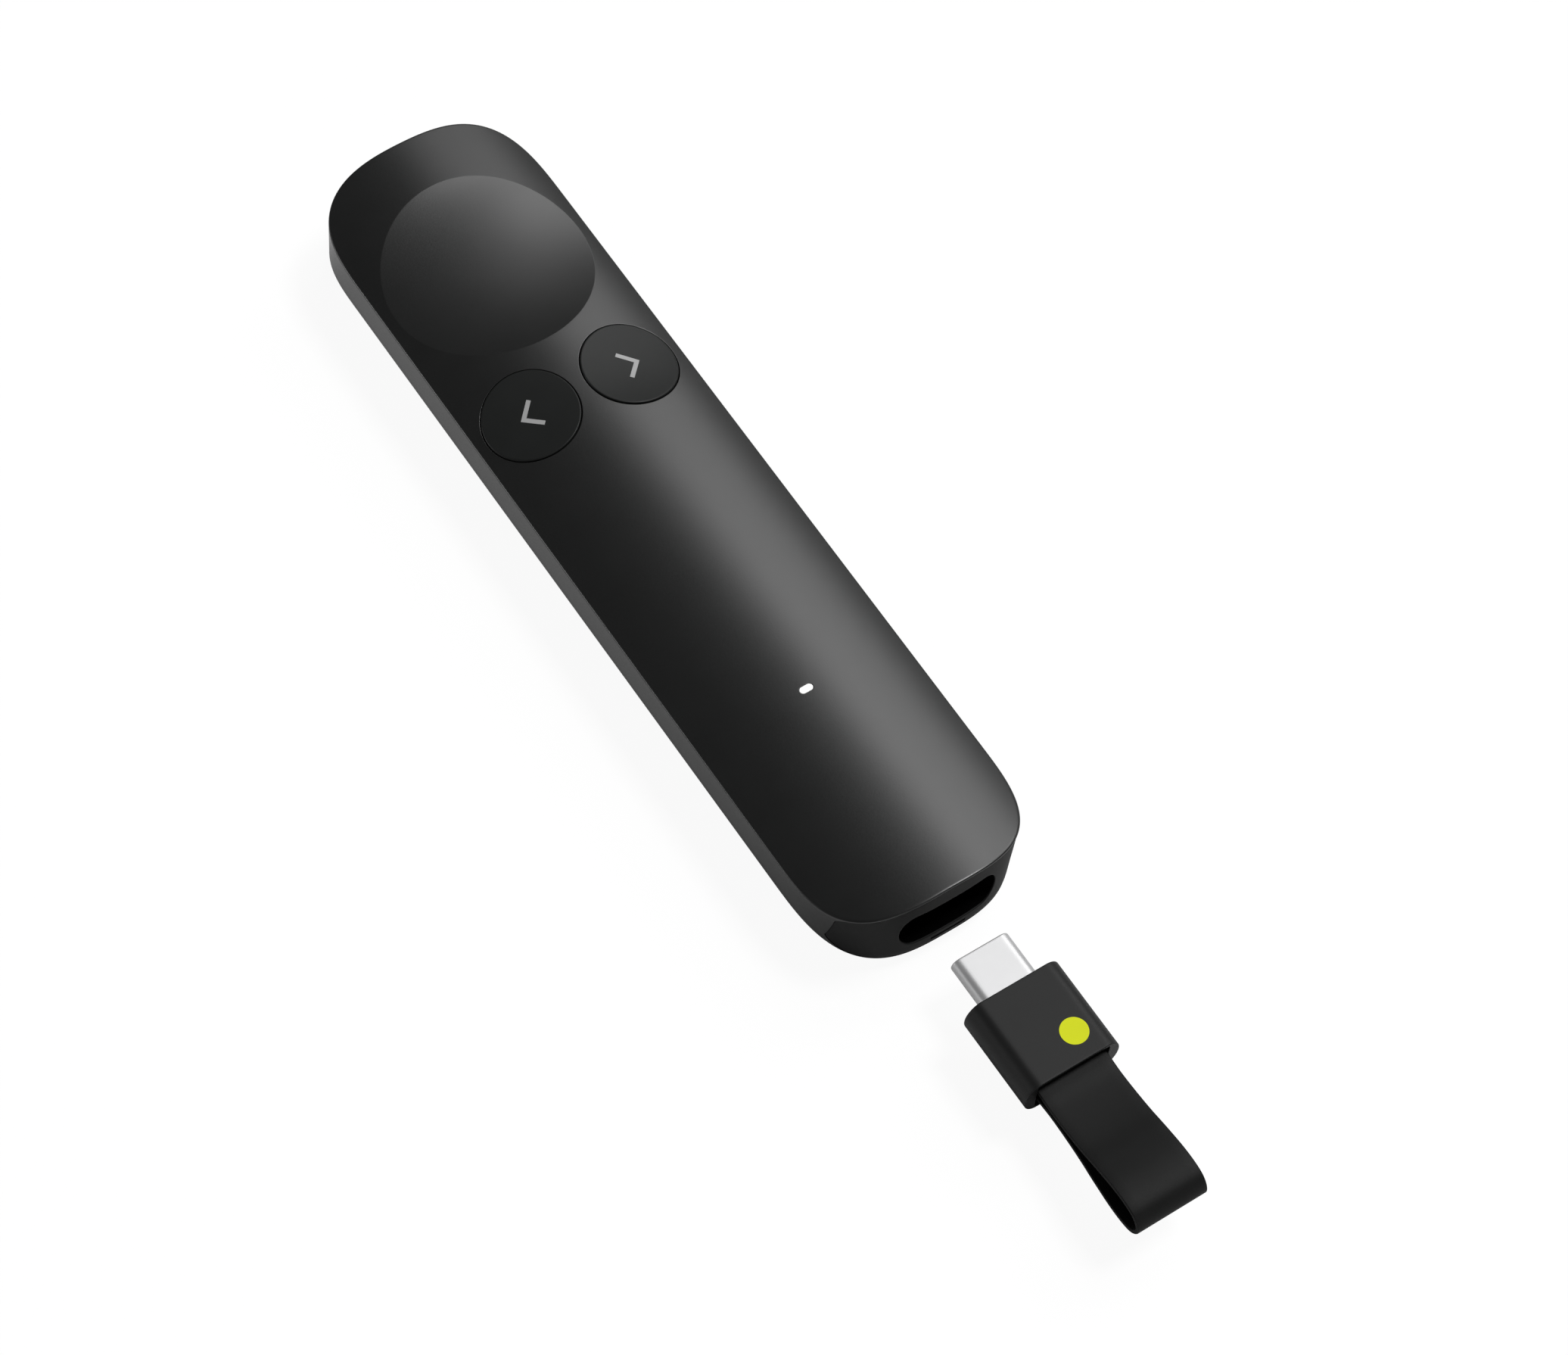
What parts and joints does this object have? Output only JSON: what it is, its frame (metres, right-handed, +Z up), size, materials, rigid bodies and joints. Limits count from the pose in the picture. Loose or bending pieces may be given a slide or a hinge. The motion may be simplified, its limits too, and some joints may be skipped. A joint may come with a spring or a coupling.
{
  "type": "wireless presentation clicker",
  "caption": "Slim hand-held presentation remote with a dished pointer pad, slide buttons, a status light and a USB-C receiver on a strap loop that docks in its tail.",
  "frame": {"origin": "centre of the flat underside", "axes": "+Z up out of the table through the crown, +Y from the tail to the head along the body, +X to the right seen from above with the head away from the viewer"},
  "size_m": [0.03, 0.1718, 0.0142],
  "materials": {
    "shell": "satin graphite, very fine grain",
    "tail_cap": "matte near black",
    "button": "satin near black",
    "print": "light grey print",
    "light_window": "lit white window",
    "receiver": "satin near black",
    "plug_metal": "bright nickel plate",
    "strap": "matte black",
    "accent": "yellow-green print",
    "inner_plastic": "black moulded plastic",
    "inner_metal": "plain steel",
    "board": "green solder mask",
    "brass": "dull brass",
    "battery_foil": "pouch foil",
    "foam": "black foam",
    "wire_red": "red insulation",
    "wire_blue": "blue insulation",
    "ceramic": "light ceramic"
  },
  "bodies": {
    "casing": {"upper_shell": "shell", "bottom_cover": "shell", "tail_cap": "tail_cap", "pocket_liner": "inner_plastic", "back_switch_body": "inner_plastic", "next_switch_body": "inner_plastic", "light_pipe": "light_window", "status_led": "ceramic", "main_board": "board", "board_screws": "inner_metal", "radio_chip": "inner_plastic", "radio_shield": "inner_metal", "chip_antenna": "ceramic", "touch_sensor": "brass", "sensor_flex": "brass", "flex_connector": "inner_plastic", "battery": "battery_foil", "battery_foam": "foam", "battery_lead": "wire_red", "battery_connector": "ceramic", "motor_cup": "inner_metal", "motor_base": "inner_metal", "motor_shaft": "inner_metal", "motor_lead": "wire_blue", "usb_receptacle_shell": "plug_metal", "usb_receptacle_tongue": "inner_plastic"},
    "back_key": {"back_button": "button", "back_button_mark": "print", "back_switch_plunger": "ceramic"},
    "next_key": {"next_button": "button", "next_button_mark": "print", "next_switch_plunger": "ceramic"},
    "motor_weight": {"motor_rotor": "brass"},
    "receiver": {"receiver_housing": "receiver", "receiver_board": "board", "usb_plug_shell": "plug_metal", "usb_plug_insert": "inner_plastic", "strap": "strap", "strap_pin": "inner_metal", "accent_dot": "accent"}
  },
  "joints": [
    {"name": "back_press", "type": "slide", "parent": "casing", "child": "back_key", "axis": [0, 0, -1], "range_m": [0, 0.0003], "stiffness_N_per_m": 4000, "springref_m": -0.0001},
    {"name": "next_press", "type": "slide", "parent": "casing", "child": "next_key", "axis": [0, 0, -1], "range_m": [0, 0.0003], "stiffness_N_per_m": 4000, "springref_m": -0.0001},
    {"name": "motor_spin", "type": "hinge", "parent": "casing", "child": "motor_weight", "pos_m": [0, 0.03625, 0.003], "axis": [0, 0, 1], "continuous": true},
    {"name": "receiver_dock", "type": "slide", "parent": "casing", "child": "receiver", "axis": [0, 1, 0], "range_m": [0, 0.0252]}
  ]
}
